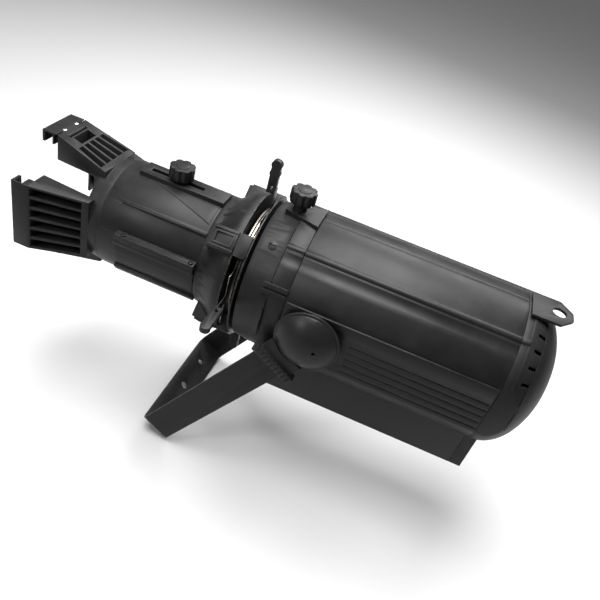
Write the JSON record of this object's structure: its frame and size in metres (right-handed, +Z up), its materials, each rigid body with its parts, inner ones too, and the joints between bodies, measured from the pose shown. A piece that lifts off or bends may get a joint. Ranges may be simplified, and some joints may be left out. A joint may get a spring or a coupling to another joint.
{
  "type": "ellipsoidal spotlight",
  "caption": "Theatre profile spotlight: long round body, focusing lens barrel with shutters and an accessory holder, hung from a U-shaped yoke.",
  "frame": {"origin": "centre of the hanging hole on the outer face of the yoke's crossbar", "axes": "+X along the optical axis towards the control end, the lens towards -X; +Z up with the optical axis level; the near side is -Y"},
  "size_m": [0.734, 0.33, 0.4745],
  "materials": {
    "shell_paint": "satin black powder coat",
    "casting_paint": "fine textured black powder coat",
    "cap_paint": "matt black moulding",
    "yoke_paint": "fine textured black powder coat",
    "gate_steel": "blackened sheet with bare edges",
    "blade_steel": "blackened steel sheet",
    "handle_plastic": "satin black moulding",
    "panel_plastic": "matt black moulding",
    "button_rubber": "matt",
    "display_glass": "polished",
    "fastener_steel": "plated",
    "washer_fibre": "matt",
    "raw_aluminium": "machined",
    "lens_glass": "polished",
    "board_resin": "satin",
    "socket_plastic": "satin"
  },
  "bodies": {
    "yoke": {"yoke_bar": "yoke_paint", "tilt_washers": "washer_fibre", "pivot_bolts": "fastener_steel"},
    "lock_near": {"lock_handle_near": "handle_plastic"},
    "lock_far": {"lock_handle_far": "handle_plastic"},
    "head": {"body_shell": "shell_paint", "side_panel_near": "shell_paint", "side_panel_far": "shell_paint", "tilt_boss_near": "raw_aluminium", "tilt_boss_far": "raw_aluminium", "front_housing": "casting_paint", "rear_cap": "cap_paint", "power_sockets": "socket_plastic", "signal_sockets": "socket_plastic", "control_panel": "panel_plastic", "display_window": "display_glass", "control_board": "board_resin", "safety_eye": "yoke_paint", "tie_rods": "fastener_steel", "lens_cell": "raw_aluminium", "condenser_lens": "lens_glass", "reflector": "raw_aluminium", "led_window": "lens_glass", "led_board": "board_resin", "heat_sink": "raw_aluminium", "fan_frame": "panel_plastic", "power_supply": "raw_aluminium", "driver_board": "board_resin"},
    "fan": {"fan_rotor": "panel_plastic"},
    "rotation_knob": {"rotation_knob": "handle_plastic", "rotation_stud": "fastener_steel"},
    "barrel": {"rotation_sleeve": "casting_paint", "rotation_ring": "gate_steel", "gate_rear_plate": "gate_steel", "gate_front_plate": "gate_steel", "corner_blocks": "casting_paint", "gate_dividers": "gate_steel", "gate_cone": "casting_paint", "barrel_upper": "casting_paint", "barrel_lower": "casting_paint", "barrel_screws": "fastener_steel", "accessory_holder": "cap_paint"},
    "frame_clip": {"frame_clip": "yoke_paint"},
    "carriage": {"lens_carriage": "raw_aluminium", "front_lens": "lens_glass", "rear_lens": "lens_glass", "lens_rings": "fastener_steel"},
    "focus_knob": {"focus_knob": "handle_plastic", "focus_stud": "fastener_steel"},
    "shutter_top": {"shutter_top": "blade_steel"},
    "shutter_bottom": {"shutter_bottom": "blade_steel"},
    "shutter_near": {"shutter_near": "blade_steel"},
    "shutter_far": {"shutter_far": "blade_steel"},
    "button_1": {"button_1": "button_rubber"},
    "button_2": {"button_2": "button_rubber"},
    "button_3": {"button_3": "button_rubber"},
    "button_4": {"button_4": "button_rubber"}
  },
  "joints": [
    {"name": "tilt", "type": "hinge", "parent": "yoke", "child": "head", "pos_m": [0.18547, 0, 0.29682], "axis": [0, 1, 0], "range_deg": [-12, 110]},
    {"name": "tilt_lock_near", "type": "hinge", "parent": "yoke", "child": "lock_near", "pos_m": [0.18547, -0.112, 0.29682], "axis": [0, 1, 0], "range_deg": [-20, 20]},
    {"name": "tilt_lock_far", "type": "hinge", "parent": "yoke", "child": "lock_far", "pos_m": [0.18547, 0.112, 0.29682], "axis": [0, 1, 0], "range_deg": [-20, 20]},
    {"name": "barrel_rotation", "type": "hinge", "parent": "head", "child": "barrel", "pos_m": [0.08347, 0, 0.29682], "axis": [1, 0, 0], "range_deg": [-25, 25]},
    {"name": "rotation_knob_turn", "type": "hinge", "parent": "head", "child": "rotation_knob", "pos_m": [0.11047, 0, 0.42482], "axis": [0, 0, 1], "range_deg": [-180, 180]},
    {"name": "focus_slide", "type": "slide", "parent": "barrel", "child": "carriage", "axis": [1, 0, 0], "range_m": [-0.036, 0.03]},
    {"name": "focus_knob_turn", "type": "hinge", "parent": "carriage", "child": "focus_knob", "pos_m": [-0.05753, 0, 0.39182], "axis": [0, 0, 1], "range_deg": [-180, 180]},
    {"name": "shutter_top_slide", "type": "slide", "parent": "barrel", "child": "shutter_top", "axis": [0, 0, -1], "range_m": [0, 0.034]},
    {"name": "shutter_bottom_slide", "type": "slide", "parent": "barrel", "child": "shutter_bottom", "axis": [0, 0, 1], "range_m": [0, 0.034]},
    {"name": "shutter_near_slide", "type": "slide", "parent": "barrel", "child": "shutter_near", "axis": [0, 1, 0], "range_m": [0, 0.034]},
    {"name": "shutter_far_slide", "type": "slide", "parent": "barrel", "child": "shutter_far", "axis": [0, -1, 0], "range_m": [0, 0.034]},
    {"name": "frame_clip_lift", "type": "hinge", "parent": "barrel", "child": "frame_clip", "pos_m": [-0.22053, 0, 0.38882], "axis": [0, 1, 0], "range_deg": [0, 55]},
    {"name": "fan_spin", "type": "hinge", "parent": "head", "child": "fan", "pos_m": [0.41547, 0, 0.29682], "axis": [1, 0, 0], "continuous": true},
    {"name": "button_1_press", "type": "slide", "parent": "head", "child": "button_1", "axis": [-1, 0, 0], "range_m": [0, 0.0015], "stiffness_N_per_m": 600, "springref_m": -0.0005},
    {"name": "button_2_press", "type": "slide", "parent": "head", "child": "button_2", "axis": [-1, 0, 0], "range_m": [0, 0.0015], "stiffness_N_per_m": 600, "springref_m": -0.0005},
    {"name": "button_3_press", "type": "slide", "parent": "head", "child": "button_3", "axis": [-1, 0, 0], "range_m": [0, 0.0015], "stiffness_N_per_m": 600, "springref_m": -0.0005},
    {"name": "button_4_press", "type": "slide", "parent": "head", "child": "button_4", "axis": [-1, 0, 0], "range_m": [0, 0.0015], "stiffness_N_per_m": 600, "springref_m": -0.0005}
  ]
}
